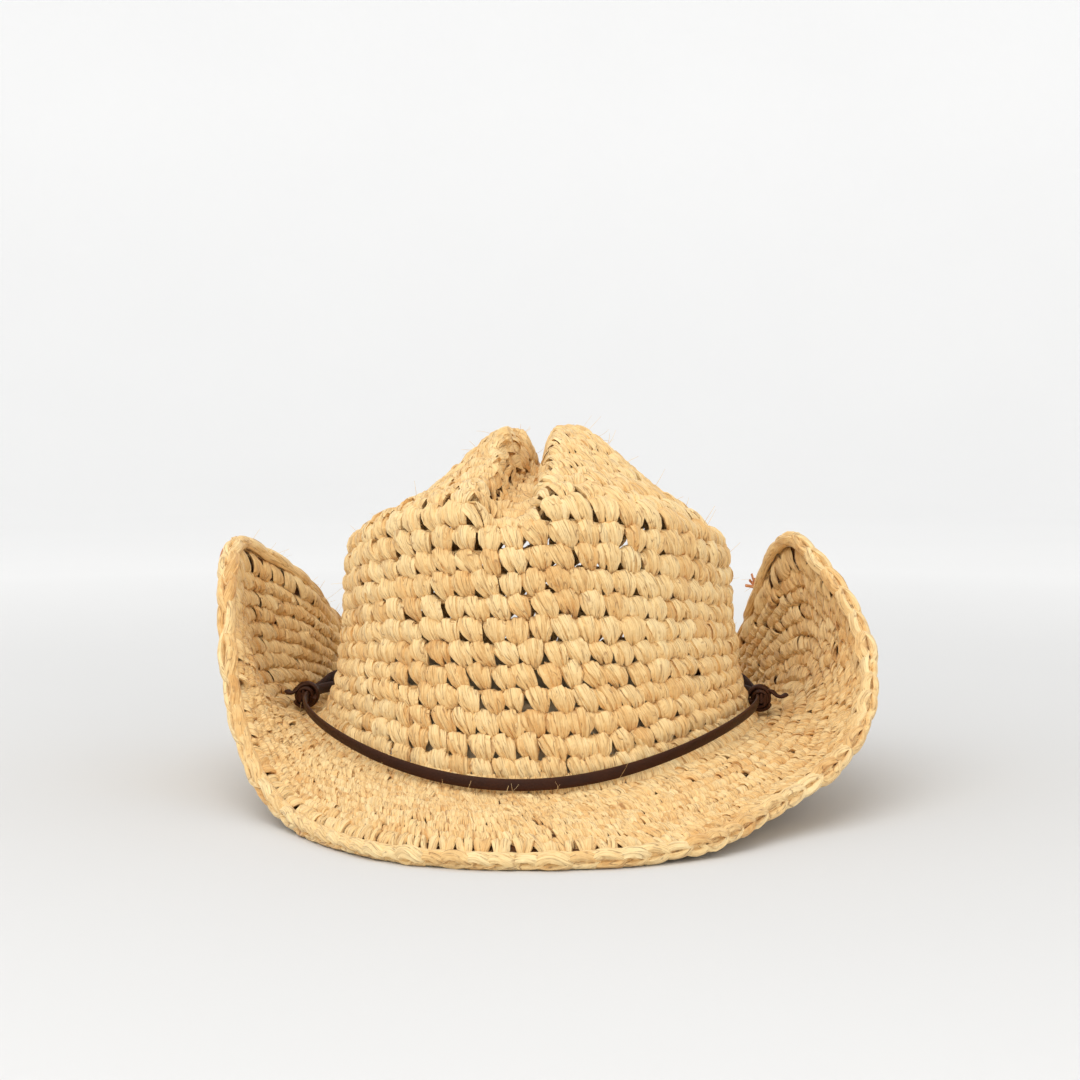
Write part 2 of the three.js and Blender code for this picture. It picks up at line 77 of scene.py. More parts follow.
EDGE_RADIUS = 4.0
EDGE_FLOOR = 3.0
EDGE_HALF_LENGTH = round(edge_high[1] - EDGE_RADIUS)
START_SLOPE_END, START_SLOPE_SIDE, EDGE_SLOPE_END, BRIM_BEND = -8, 0, -26, 0.5
RIGHT_FLAP = dict(half_width=148, pull_in=44, pull_at=8, pull_over=14, waist=0.095, waist_at=-46,
                  waist_over=14, height=109, peak=18, slope=118, front=(35, 1.5), back=(17, 0.85))
LEFT_FLAP = dict(half_width=137, pull_in=24, pull_at=11, pull_over=5, waist=0.14, waist_at=-48,
                 waist_over=24, height=105, peak=5, slope=84, front=(25, 2.2), back=(34, 1.12))
PEAK_ROUNDING = 5  # degrees over which a flap's highest point is rounded
ROUNDING = 0.07  # half of the stretch over which corners of the profile are rounded
LEVEL_OVER = 60  # half of the running mean, in table angles, that levels the crown's rounds

LACE_THICKNESS = 1.8
LACE_WIDTH = 4.8
LACE_SHIFT = -3
LACE_HALF_WIDTH = (lace_high[0] - lace_low[0]) / 2 - LACE_THICKNESS / 2
LACE_HALF_LENGTH = -lace_low[1] - LACE_THICKNESS / 2
LACE_SIDE_HEIGHT = 10.6
LACE_END_HEIGHT = 5.2
DOUBLE_STEP, DOUBLE_RISE = 2.2, 5  # how far the upper back strand lies out at a knot, and up behind it
RISE_FROM, STEP_FROM, STEP_TO = 11, 24, 36  # degrees from the knot
KNOT_OUT = 1.1


# ---------------------------------------------------------------- the hat's surface

def mix(a, b, share):
    return a + (b - a) * share


def smooth_step(value, low, high):
    t = np.clip((value - low) / (high - low), 0, 1)
    return t * t * (3 - 2 * t)


def soft_min(a, b, width):
    share = np.clip(0.5 + 0.5 * (b - a) / width, 0, 1)
    return mix(b, a, share) - width * share * (1 - share)


def head_height(angle):
    return mix(HEAD_SIDE, HEAD_END, np.abs(np.sin(angle)) ** HEAD_POWER)


def top_height(angle, out):
    along = out * np.sin(angle)
    x = CROWN_HALF_WIDTH * out * np.cos(angle) - CREASE_LEAN * along
    fall = mix(FALL_LEFT, FALL_RIGHT, 0.5 + 0.5 * np.tanh(4 * np.cos(angle)))
    front = np.maximum(0, -np.sin(angle)) ** 1.3
    back = np.maximum(0, np.sin(angle)) ** 1.3
    shoulder = (SHOULDER_SIDE + (SHOULDER_FRONT - SHOULDER_SIDE) * front
                + (SHOULDER_BACK - SHOULDER_SIDE) * back)
    tilt = 1 - FORWARD_TILT * along
    dome = shoulder + (PEAK - shoulder) * tilt * np.maximum(1 - out, 0) ** fall
    floor = mix(CREASE_MIDDLE, np.where(along < 0, CREASE_FRONT, CREASE_BACK), np.abs(along) ** 1.7)
    half_width = mix(CREASE_WIDE_BACK, CREASE_WIDE_FRONT, np.clip(-along, 0, 1))
    crease = floor + CREASE_RISE * np.abs(x / half_width) ** CREASE_POWER
    return soft_min(soft_min(dome, RIDGE_TOP, RIDGE_ROUNDING), crease, RIDGE_ROUNDING)


def crown_point(angle, climb):
    out = np.clip(2 - climb, 0, 1)
    low = np.clip(1 - climb, 0, 1)
    spread = FOOT_TAPER * low + FOOT_FLARE * low ** FOOT_FLARE_POWER
    wall = mix(head_height(angle), top_height(angle, 1), np.clip(climb, 0, 1))
    z = np.where(climb > 1, top_height(angle, out), wall)
    return np.stack([
        (CROWN_HALF_WIDTH * out + spread) * np.cos(angle),
        (CROWN_HALF_LENGTH * out + spread) * np.sin(angle),
        z,
    ], -1)


def flap_lift(flap, side):
    lift = 0
    for shift in np.linspace(-PEAK_ROUNDING, PEAK_ROUNDING, 5):
        gap = side + shift - flap["peak"]
        before = np.exp(-(np.abs(gap) / flap["front"][0]) ** flap["front"][1])
        after = np.exp(-(np.abs(gap) / flap["back"][0]) ** flap["back"][1])
        lift = lift + np.where(gap < 0, before, after) / 5
    return lift * (1 - (np.abs(side) / 90) ** 4)


def brim_edge(angle):
    c, s = np.cos(angle), np.sin(angle)
    side = np.degrees(np.arcsin(np.clip(s, -1, 1)))
    right = c >= 0
    lift = np.where(right, flap_lift(RIGHT_FLAP, side), flap_lift(LEFT_FLAP, side))
    names = ("half_width", "pull_in", "pull_at", "pull_over", "waist", "waist_at", "waist_over",
             "height", "slope")
    pick = {name: np.where(right, RIGHT_FLAP[name], LEFT_FLAP[name]) for name in names}
    pulled = (0.5 + 0.5 * np.tanh((side - pick["pull_at"]) / pick["pull_over"])) * (1 - (side / 90) ** 2)
    waist = 1 - pick["waist"] * np.exp(-((side - pick["waist_at"]) / pick["waist_over"]) ** 2)
    point = np.stack([
        (pick["half_width"] - pick["pull_in"] * pulled) * waist * c,
        EDGE_HALF_LENGTH * s,
        EDGE_FLOOR + pick["height"] * lift,
    ], -1)
    return point, lift, pick["slope"]


def brim_point(angle, reach):
    start = crown_point(angle, np.zeros_like(angle))
    end, lift, slope = brim_edge(angle)
    spread = FOOT_TAPER + FOOT_FLARE
    outward = np.stack([
        np.cos(angle) / (CROWN_HALF_WIDTH + spread),
        np.sin(angle) / (CROWN_HALF_LENGTH + spread),
        np.zeros_like(angle),
    ], -1)
    outward /= np.linalg.norm(outward, axis=-1, keepdims=True)
    leave_slope = np.radians(mix(START_SLOPE_END, START_SLOPE_SIDE, np.cos(angle) ** 2))
    arrive_slope = np.radians(mix(EDGE_SLOPE_END, slope, np.sqrt(np.clip(lift, 0, 1))))
    handle = np.linalg.norm(end - start, axis=-1, keepdims=True) * BRIM_BEND
    up = np.array([0, 0, 1.0])
    leave = outward * np.cos(leave_slope)[..., None] + up * np.sin(leave_slope)[..., None]
    arrive = outward * np.cos(arrive_slope)[..., None] + up * np.sin(arrive_slope)[..., None]
    near, far = start + leave * handle, end - arrive * handle
    t = reach[..., None]
    return (1 - t) ** 3 * start + 3 * (1 - t) ** 2 * t * near + 3 * (1 - t) * t * t * far + t ** 3 * end


def smooth_round(values, reach):
    """A running mean round the hat, taken twice."""
    share = np.ones(2 * reach + 1) / (2 * reach + 1)
    three_turns = np.convolve(np.convolve(np.tile(values, 3), share, "same"), share, "same")
    return three_turns[len(values):2 * len(values)]


def surface_table(angles=720, steps=300):
    """The hat's points on a grid of angle and height, in nearly equal steps of length along each angle."""
    fine = 0.005
    angle = np.linspace(0, 2 * math.pi, angles, endpoint=False)
    travel = np.arange(-1, 2 + ROUNDING + fine / 2, fine)
    grid_angle, grid_travel = np.meshgrid(angle, travel)
    past = grid_travel > 2
    mirrored = np.where(past, 4 - grid_travel, grid_travel)
    turned = np.where(past, grid_angle + math.pi, grid_angle)
    raw = np.where((mirrored < 0)[..., None],
                   brim_point(turned, np.clip(-mirrored, 0, 1)),
                   crown_point(turned, np.clip(mirrored, 0, 2)))
    total = np.concatenate([np.zeros((1,) + raw.shape[1:]), np.cumsum(raw, 0)])
    count = int(round(3 / fine)) + 1
    rounded = np.empty((count, angles, 3))
    widest = int(round(ROUNDING / fine))
    for i in range(count):
        half = min(widest, i)
        rounded[i] = (total[i + half + 1] - total[i - half]) / (2 * half + 1)
    head = int(round(1 / fine))
    rows = []
    for part, on_brim in ((rounded[: head + 1], True), (rounded[head:], False)):
        step = np.linalg.norm(np.diff(part, axis=0), axis=-1)
        length = np.concatenate([np.zeros((1, angles)), np.cumsum(step, 0)])
        want = np.linspace(0, 1, steps + 1)
        whole = length[-1]
        level = whole if on_brim else smooth_round(whole, LEVEL_OVER)
        out = np.empty((steps + 1, angles, 3))
        for a in range(angles):
            reach = want * mix(level[a], whole[a], want ** 2)
            for k in range(3):
                out[:, a, k] = np.interp(reach, length[:, a], part[:, a, k])
        rows.append(out)
    return np.concatenate([rows[0][:-1], rows[1]])


TABLE_POINTS = surface_table()
TABLE_ROWS, TABLE_ANGLES = TABLE_POINTS.shape[:2]


def table_normals():
    across = np.roll(TABLE_POINTS, -2, 1) - np.roll(TABLE_POINTS, 2, 1)
    along = np.empty_like(TABLE_POINTS)
    along[2:-2] = TABLE_POINTS[4:] - TABLE_POINTS[:-4]
    along[:2] = TABLE_POINTS[2:4] - TABLE_POINTS[0:2]
    along[-2:] = along[-3]
    normal = np.cross(across, along)
    normal /= np.maximum(np.linalg.norm(normal, axis=-1, keepdims=True), 1e-9)
    normal[-4:] = (0, 0, 1)
    return normal


TABLE_NORMALS = table_normals()


def look_up(table, angle, height):
    column = np.mod(angle / (2 * math.pi), 1) * TABLE_ANGLES
    row = np.clip((height + 1) / 2 * (TABLE_ROWS - 1), 0, TABLE_ROWS - 1.001)
    c0 = np.floor(column).astype(int) % TABLE_ANGLES
    c1 = (c0 + 1) % TABLE_ANGLES
    r0 = np.floor(row).astype(int)
    fc = (column - np.floor(column))[..., None]
    fr = (row - r0)[..., None]
    return mix(mix(table[r0, c0], table[r0, c1], fc), mix(table[r0 + 1, c0], table[r0 + 1, c1], fc), fr)


def on_hat(angle, height, lift):
    """Points `lift` mm out of the middle of the raffia, and the surface's normals there."""
    normal = look_up(TABLE_NORMALS, angle, height)
    normal /= np.linalg.norm(normal, axis=-1, keepdims=True)
    return look_up(TABLE_POINTS, angle, height) + normal * np.asarray(lift)[..., None], normal


def ring_length(height):
    """The way round the hat at a height, in mm."""
    angle = np.linspace(0, 2 * math.pi, 181)
    points, _ = on_hat(angle, np.full_like(angle, height), np.zeros_like(angle))
    return np.linalg.norm(np.diff(points, axis=0), axis=-1).sum()


# ---------------------------------------------------------------- strands

def unit(vectors):
    return vectors / np.maximum(np.linalg.norm(vectors, axis=-1, keepdims=True), 1e-9)


def facing(centre, normal):
    """The way across a strand whose broad side faces along the normals."""
    return np.cross(normal, np.gradient(centre, axis=-2))


SHARP_FROM = 32  # degrees between faces from which a fold stays sharp


class Strands:
    """Collects tubes of flattened section and makes them into one mesh object."""

    def __init__(self):
        self.points, self.faces, self.strand, self.tint = [], [], [], []
        self.count = 0

    def add(self, centre, side, width, thickness, sides=12, creases=0.15, closed=False, tint=None):
        """centre, side: (many, stations, 3), width, thickness: (many, stations). side is the way across."""
        many, stations = centre.shape[:2]
        if closed:
            ahead, behind = np.roll(centre, -1, 1), np.roll(centre, 1, 1)
        else:
            ahead = np.concatenate([centre[:, 1:], centre[:, -1:]], 1)
            behind = np.concatenate([centre[:, :1], centre[:, :-1]], 1)
        along = unit(ahead - behind)
        side = unit(side - along * (side * along).sum(-1, keepdims=True))
        out = np.cross(along, side)
        turn = np.linspace(0, 2 * math.pi, sides, endpoint=False)
        ridges = np.clip(rng.normal(0, 1, (many, 1, sides)), -1.6, 1.6) + 0.7 * (-1) ** np.arange(sides)
        fold = 1 + creases * (ridges + 0.5 * np.clip(rng.normal(0, 1, (many, stations, sides)), -2, 2))
        across = np.cos(turn) * fold * width[..., None] / 2
        deep = np.sign(np.sin(turn)) * np.abs(np.sin(turn)) ** 0.7 * fold * thickness[..., None] / 2
        points = centre[:, :, None] + side[:, :, None] * across[..., None] + out[:, :, None] * deep[..., None]
        step = np.linalg.norm(np.diff(centre, axis=1), axis=-1)
        run = np.concatenate([np.zeros((many, 1)), np.cumsum(step, 1)], 1)
        seed = rng.uniform(0, 100, (many, 1, 1))
        strand = np.stack(np.broadcast_arrays(run[..., None], np.cos(turn) * width[..., None] / 2, seed), -1)
        tint = rng.uniform(0, 1, many) if tint is None else tint
        base = self.count + (np.arange(many) * stations * sides)[:, None, None]
        rows = stations if closed else stations - 1
        j = np.arange(rows)[None, :, None]
        i = np.arange(sides)[None, None, :]
        j1, i1 = (j + 1) % stations, (i + 1) % sides
        quads = [base + j * sides + i, base + j * sides + i1, base + j1 * sides + i1, base + j1 * sides + i]
        self.faces.append(np.stack(quads, -1).reshape(-1, 4))
        if not closed:
            low = base[:, 0] + np.arange(sides)[::-1]
            high = base[:, 0] + (stations - 1) * sides + np.arange(sides)
            self.faces.append(np.concatenate([low, high]))
        self.points.append(points.reshape(-1, 3))
        self.strand.append(strand.reshape(-1, 3))
        self.tint.append(np.repeat(tint, stations * sides))
        self.count += many * stations * sides

    def make(self, name, material, body, slot, *replaced):
        return make_object(name, np.concatenate(self.points), self.faces, material, body, replaced,
                           np.concatenate(self.strand), np.concatenate(self.tint))


def make_object(name, points, face_blocks, material, body, replaced=(), strand=None, tint=None):
    """One mesh object from points in mm and blocks of faces with the same number of corners."""
    volume = sum(np.einsum("ij,ij->", points[f[:, 0]], np.cross(points[f[:, k]], points[f[:, k + 1]]))
                 for f in face_blocks for k in range(1, f.shape[1] - 1))
    if volume < 0:
        face_blocks = [f[:, ::-1] for f in face_blocks]
    mesh = bpy.data.meshes.new(name)
    corners = np.concatenate([f.ravel() for f in face_blocks])
    sizes = np.concatenate([np.full(len(f), f.shape[1]) for f in face_blocks])
    mesh.vertices.add(len(points))
    mesh.vertices.foreach_set("co", (points * MM).astype(np.float32).ravel())
    mesh.loops.add(len(corners))
    mesh.loops.foreach_set("vertex_index", corners.astype(np.int32))
    mesh.polygons.add(len(sizes))
    mesh.polygons.foreach_set("loop_start", np.concatenate([[0], np.cumsum(sizes)[:-1]]).astype(np.int32))
    mesh.polygons.foreach_set("use_smooth", np.ones(len(sizes), bool))
    mesh.update(calc_edges=True)
    mesh.validate()
    mesh.set_sharp_from_angle(angle=math.radians(SHARP_FROM))
    if strand is not None:
        mesh.attributes.new("strand", "FLOAT_VECTOR", "POINT").data.foreach_set(
            "vector", strand.astype(np.float32).ravel())
        mesh.attributes.new("tint", "FLOAT", "POINT").data.foreach_set("value", tint.astype(np.float32))
    mesh.materials.append(material)
    piece = bpy.data.objects.new(name, mesh)
    bpy.context.scene.collection.objects.link(piece)
    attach(piece, body)
    if replaced:
        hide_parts(*replaced)
    return piece


# ---------------------------------------------------------------- materials

def linear(red, green, blue):
    def one(value):
        value /= 255
        return value / 12.92 if value <= 0.04045 else ((value + 0.055) / 1.055) ** 2.4
    return one(red), one(green), one(blue), 1


class Nodes:
    """A short way to write a node tree."""

    def __init__(self, name):
        self.material = bpy.data.materials.new(name)
        self.material.use_nodes = True
        self.tree = self.material.node_tree
        self.shader = self.tree.nodes["Principled BSDF"]

    def new(self, kind, **values):
        node = self.tree.nodes.new(kind)
        for key, value in values.items():
            if hasattr(node, key) and key not in node.inputs:
                setattr(node, key, value)
            else:
                self.put(node.inputs[key], value)
        return node

    def put(self, socket, value):
        if isinstance(value, bpy.types.NodeSocket):
            self.tree.links.new(value, socket)
        else:
            socket.default_value = value

    def math(self, operation, *values):
        node = self.tree.nodes.new("ShaderNodeMath")
        node.operation = operation
        for socket, value in zip(node.inputs, values):
            self.put(socket, value)
        return node.outputs[0]

    def ramp(self, factor, *stops):
        node = self.tree.nodes.new("ShaderNodeValToRGB")
        while len(node.color_ramp.elements) < len(stops):
            node.color_ramp.elements.new(0.5)
        for element, (place, color) in zip(node.color_ramp.elements, stops):
            element.position = place
            element.color = color
        self.put(node.inputs[0], factor)
        return node.outputs[0]

    def mix(self, factor, a, b, blend="MIX"):
        node = self.tree.nodes.new("ShaderNodeMix")
        node.data_type = "RGBA"
        node.blend_type = blend
        self.put(node.inputs["Factor"], factor)
        self.put(node.inputs["A"], a)
        self.put(node.inputs["B"], b)
        return node.outputs["Result"]

    def set(self, **values):
        for key, value in values.items():
            self.put(self.shader.inputs[key.replace("_", " ")], value)
        return self.material

    def bump(self, height, strength, distance_mm):
        node = self.tree.nodes.new("ShaderNodeBump")
        node.inputs["Strength"].default_value = strength
        node.inputs["Distance"].default_value = distance_mm * MM
        self.put(node.inputs["Height"], height)
        self.put(self.shader.inputs["Normal"], node.outputs[0])


def raffia_material(name, light, middle, dark, deep):
    """Dry palm fibre: fine streaks and a few sharp folds along each strand, with painted shade darkening each
    fold line towards the deep colour, and a tone of its own on each.
    """
    n = Nodes(name)
    strand = n.new("ShaderNodeAttribute", attribute_name="strand").outputs["Vector"]
    tint = n.new("ShaderNodeAttribute", attribute_name="tint").outputs["Fac"]
    along, across, seed = n.new("ShaderNodeSeparateXYZ", Vector=strand).outputs

    def streaks(along_scale, across_scale, detail):
        place = n.new("ShaderNodeCombineXYZ", X=n.math("MULTIPLY", along, along_scale),
                      Y=n.math("MULTIPLY", across, across_scale), Z=seed).outputs[0]
        return n.new("ShaderNodeTexNoise", Vector=place, Scale=1.0, Detail=detail, Roughness=0.6).outputs[0]

    fibre = streaks(0.12, 2.2, 4.0)
    folds = streaks(0.07, 0.55, 0.0)
    patch = streaks(0.2, 0.25, 2.0)
    crumple = streaks(0.3, 0.45, 2.0)
    near_fold = n.math("ABSOLUTE", n.math("SUBTRACT", folds, 0.5))
    line = n.ramp(near_fold, (0.0, (1, 1, 1, 1)), (0.03, (0, 0, 0, 1)))
    broken = n.ramp(crumple, (0.42, (0, 0, 0, 1)), (0.58, (1, 1, 1, 1)))
    groove = n.math("MULTIPLY", line, broken)
    tone = n.ramp(n.math("ADD", n.math("MULTIPLY", tint, 0.5), n.math("MULTIPLY", patch, 0.5)),
                  (0.18, dark), (0.45, middle), (0.8, light))
    streak = n.ramp(fibre, (0.34, (0.62, 0.5, 0.38, 1)), (0.54, (1, 1, 1, 1)))
    color = n.mix(0.75, tone, streak, "MULTIPLY")
    # Painted shade: the fold lines are darkened towards the deep colour, standing in for the shade in the
    # crease valleys.
    color = n.mix(n.math("MULTIPLY", groove, 0.6), color, deep)
    relief = n.math("SUBTRACT", n.math("MULTIPLY", fibre, 0.35), n.math("MULTIPLY", groove, 0.6))
    relief = n.math("ADD", relief, n.math("MULTIPLY", crumple, 1.5))
    n.bump(relief, 0.9, 0.6)
    return n.set(Base_Color=color, Roughness=n.math("ADD", 0.5, n.math("MULTIPLY", fibre, 0.3)),
                 Specular_IOR_Level=0.35, Sheen_Weight=0.12, Sheen_Roughness=0.5)


def leather_material():
    n = Nodes("leather_lace")
    place = n.new("ShaderNodeTexCoord").outputs["Object"]
    grain = n.new("ShaderNodeTexVoronoi", Vector=place, Scale=1400.0).outputs["Distance"]
    cloud = n.new("ShaderNodeTexNoise", Vector=place, Scale=120.0, Detail=4.0).outputs[0]
    edge = n.new("ShaderNodeNewGeometry").outputs["Pointiness"]
    wear = n.ramp(edge, (0.5, (0, 0, 0, 1)), (0.6, (1, 1, 1, 1)))
    base = n.mix(cloud, linear(34, 16, 8), linear(62, 32, 16))
    color = n.mix(n.math("MULTIPLY", wear, 0.35), base, linear(98, 58, 34))
    n.bump(n.math("ADD", grain, n.math("MULTIPLY", cloud, 0.6)), 0.35, 0.25)
    return n.set(Base_Color=color, Roughness=n.math("ADD", 0.42, n.math("MULTIPLY", cloud, 0.25)),
                 Specular_IOR_Level=0.15)


def cotton_material(name, light, dark, scale):
    n = Nodes(name)
    strand = n.new("ShaderNodeAttribute", attribute_name="strand").outputs["Vector"]
    waves = [n.new("ShaderNodeTexWave", Vector=strand, Scale=scale, Distortion=1.0, bands_direction=way)
             for way in "XY"]
    weave = n.math("MULTIPLY", *(wave.outputs[1] for wave in waves))
    n.bump(weave, 0.5, 0.2)
    return n.set(Base_Color=n.mix(weave, dark, light), Roughness=0.9, Sheen_Weight=0.3)


def metal_material(name, color, roughness):
    n = Nodes(name)
    place = n.new("ShaderNodeTexCoord").outputs["Object"]
    scratch = n.new("ShaderNodeTexNoise", Vector=place, Scale=900.0, Detail=3.0).outputs[0]
    n.bump(scratch, 0.15, 0.05)
    return n.set(Base_Color=color, Metallic=1.0,
                 Roughness=n.math("ADD", roughness, n.math("MULTIPLY", scratch, 0.15)))


# The last colour of each raffia material is painted shade for its fold lines.
RAFFIA = raffia_material("raffia", linear(253, 227, 172), linear(247, 212, 150),
                         linear(229, 179, 110), linear(140, 78, 34))
# Painted shade: the dark colours of the sheet under the dense stitches stand in for the shade in the gaps
# between them.
RAFFIA_SHADE = raffia_material("raffia_painted_shade_backing", linear(150, 100, 52), linear(122, 80, 40),
                               linear(94, 58, 28), linear(80, 48, 22))
RAFFIA_END = raffia_material("raffia_end", linear(238, 176, 130), linear(222, 148, 100),
                             linear(196, 116, 66), linear(120, 60, 26))
LEATHER = leather_material()
COTTON = cotton_material("sweatband_cotton", linear(240, 226, 198), linear(196, 176, 140), 1.1)
THREAD = cotton_material("thread", linear(226, 190, 136), linear(176, 132, 80), 3.0)
STEEL = metal_material("steel_wire", (0.55, 0.55, 0.57, 1), 0.3)
ALUMINIUM = metal_material("aluminium_sleeve", (0.75, 0.76, 0.78, 1), 0.35)


# ---------------------------------------------------------------- crochet

# A stitch's path down the hat: from behind, over its top fold, down its face and in behind the next row.
PATH_UP = np.array([0.84, 0.98, 1.06, 1.03, 0.88, 0.64, 0.40, 0.18, 0.0, -0.12])
PATH_OUT = np.array([-2.0, -1.5, -0.4, 0.8, 1.5, 1.8, 1.5, 0.6, -0.7, -1.8])
PATH_SHARE = np.linspace(0, 1, len(PATH_UP))

FULL_PATH = np.arange(len(PATH_UP))
SHORT_PATH = np.array([1, 2, 4, 5, 6, 7, 9])
LEG_STOPS = (0, 0.22, 0.44, 0.67, 0.78, 0.89, 1)
UNDER_DEPTH = 1.6  # how far in from the middle of the raffia the inner face's stitches lie


class Leg:
    """One strand of a stitch: its place and width at the LEG_STOPS of its path, in shares of the stitch."""

    def __init__(self, places, widths, lift, drop=0.0):
        self.at = np.interp(PATH_SHARE, LEG_STOPS, places)
        self.width = np.interp(PATH_SHARE, LEG_STOPS, widths)
        self.lift = lift
        self.up = PATH_UP - drop * np.clip(PATH_UP, 0, 1) ** 2


def uneven(angle, height):
    """Hand-made rounds aren't quite level, and the crown's rounds lie lower at the sides than in front."""
    slow = 0.006 * np.cos(angle) + 0.0035 * np.sin(3 * angle + 1) + 0.002 * np.sin(7 * angle)
    drop = SIDE_DROP * np.cos(angle) ** 2 * np.sin(math.pi * np.clip(height, 0, 1))
    return np.clip(height + slow * np.sqrt(np.clip(1 - height * height, 0, 1)) - drop, -0.998, 0.998)


def round_of_stitches(strands, low, high, legs, turn, stitch_mm, thickness, wobble=1.0, lean=-0.14,
                      fill=0.0, relief=1.0, flank=0.0, sides=12, path=FULL_PATH, under=False):
    """One round between two heights, on the inner face if under.

    At the hat's sides fill closes the gaps between stitches, and flank makes the round stand out more.
    """
    share = PATH_SHARE[path]
    middle = (low + high) / 2
    count = max(8, int(round(ring_length(middle) / stitch_mm)))
    pitch = 2 * math.pi / count
    centre = (np.arange(count) + turn) * pitch + rng.normal(0, 0.035 * wobble, count) * pitch
    here, _ = on_hat(centre, np.full(count, middle), np.zeros(count))
    beyond, _ = on_hat(centre + pitch, np.full(count, middle), np.zeros(count))
    length = np.linalg.norm(beyond - here, axis=-1)[:, None]
    tall = rng.normal(1, 0.06 * wobble, (count, 1))
    tilt = rng.normal(lean, 0.14 * wobble, (count, 1))
    puff = rng.normal(0, 0.3 * wobble, (count, 1))
    slip = rng.normal(0, 0.05 * wobble, (count, 1))
    size = rng.normal(1, 0.06 * wobble, (count, 1)) * (1 + fill * np.cos(centre[:, None]) ** 2)
    tone = rng.uniform(0, 1, count)
    for leg in legs:
        sway = rng.normal(0, 0.04 * wobble, (count, 2))
        up = (leg.up[path] - 0.5) * tall + 0.5 + slip + rng.normal(0, 0.02 * wobble, (count, 1))
        across = leg.at[path] * size + tilt * (up - 0.5) + mix(sway[:, :1], sway[:, 1:], share)
        angle = centre[:, None] + across * pitch
        height = uneven(angle, low + (high - low) * up)
        lift = PATH_OUT[path] * relief * (1 + flank * np.cos(centre[:, None]) ** 2) + leg.lift + puff
        if under:
            lift = -UNDER_DEPTH - lift
        points, normal = on_hat(angle, height, lift)
        beside, _ = on_hat(angle + 0.002, height, lift)
        roll = rng.normal(0, 0.2 * wobble, (count, 1, 1))
        roll = roll + rng.normal(0, 0.3, (count, 1, 1)) * (share[:, None] - 0.5)
        width = leg.width[path] * length * size * rng.normal(1, 0.09 * wobble, (count, 1))
        thick = thickness * (0.55 + 0.45 * np.sin(math.pi * share)) * rng.normal(1, 0.1, (count, 1))
        tint = np.clip(tone * 0.6 + rng.uniform(0, 0.4, count), 0, 1)
        strands.add(points, unit(beside - points) + normal * roll, width, thick, sides=sides, tint=tint)


def bar_round(strands, height, lift, width, thickness, stations=240):
    """A loop of raffia that runs right round the hat, behind a row of stitches."""
    angle = np.linspace(0, 2 * math.pi, stations, endpoint=False)[None]
    points, normal = on_hat(angle, uneven(angle, height), lift + rng.normal(0, 0.2, angle.shape))
    width = width * (1 + 0.2 * rng.normal(0, 1, angle.shape))
    strands.add(points, facing(points, normal), width, np.full(angle.shape, thickness), closed=True, sides=6)


def backing(name, low, high, lift, thickness, rows, replaced=()):
    """A thin sheet under dense stitches, so that no light comes through them; its dark colour is painted
    shade that shows in the gaps between the stitches.
    """
    around = 240
    angle = np.linspace(0, 2 * math.pi, around, endpoint=False)
    heights = np.linspace(low, high, rows)
    a, h = np.meshgrid(angle, heights)
    outer, _ = on_hat(a, h, np.full(a.shape, lift + thickness / 2))
    inner, _ = on_hat(a, h, np.full(a.shape, lift - thickness / 2))
    points = np.concatenate([outer, inner[::-1]]).reshape(-1, 3)
    total = 2 * rows
    j, i = np.meshgrid(np.arange(total), np.arange(around), indexing="ij")
    j1, i1 = (j + 1) % total, (i + 1) % around
    quads = np.stack([j * around + i, j * around + i1, j1 * around + i1, j1 * around + i], -1).reshape(-1, 4)
    strand = np.stack([a * 90, h * 90, np.zeros_like(a)], -1)
    strand = np.concatenate([strand, strand[::-1]]).reshape(-1, 3)
    return make_object(name, points, [quads], RAFFIA_SHADE, "hat", replaced, strand,
                       np.full(len(points), 0.4))


OPEN_ROWS = 14
OPEN_TOP = 0.65
SIDE_DROP = 0.12
TIP_ROWS = 11
TIP_END = 0.965
BRIM_ROWS = 12
BRIM_INNER, BRIM_OUTER, LAST_ROUND = -0.045, -0.975, 0.11
OPEN_STITCH, TIP_STITCH, BRIM_STITCH = 10.2, 5.2, 5.4  # mm of the round that one stitch takes

OUTER_WIDTHS = (0.36, 0.44, 0.52, 0.40, 0.28, 0.20, 0.16)
DENSE_WIDTHS = (0.44, 0.58, 0.68, 0.60, 0.46, 0.34, 0.24)
FORKED_WIDTHS = (0.30, 0.36, 0.44, 0.42, 0.38, 0.32, 0.26)
OPEN_LEGS = [
    Leg((-0.16, -0.20, -0.27, -0.25, -0.20, -0.16, -0.12), OUTER_WIDTHS, 0.0, 0.13),
    Leg((0.16, 0.20, 0.27, 0.25, 0.20, 0.16, 0.12), OUTER_WIDTHS, 0.2, 0.13),
    Leg((0.00, 0.00, 0.02, 0.03, 0.03, 0.02, 0.00), (0.46, 0.56, 0.56, 0.34, 0.22, 0.16, 0.12), 0.7),
]
DENSE_LEGS = [
    Leg((-0.22, -0.23, -0.24, -0.26, -0.27, -0.28, -0.3), DENSE_WIDTHS, 0.0),
    Leg((0.22, 0.24, 0.27, 0.25, 0.24, 0.22, 0.2), DENSE_WIDTHS, 0.2),
]
FORKED_LEGS = [
    Leg((-0.36, -0.34, -0.28, -0.20, -0.14, -0.10, -0.1), FORKED_WIDTHS, 0.0),
    Leg((0.36, 0.34, 0.28, 0.20, 0.14, 0.10, 0.1), FORKED_WIDTHS, 0.3),
]


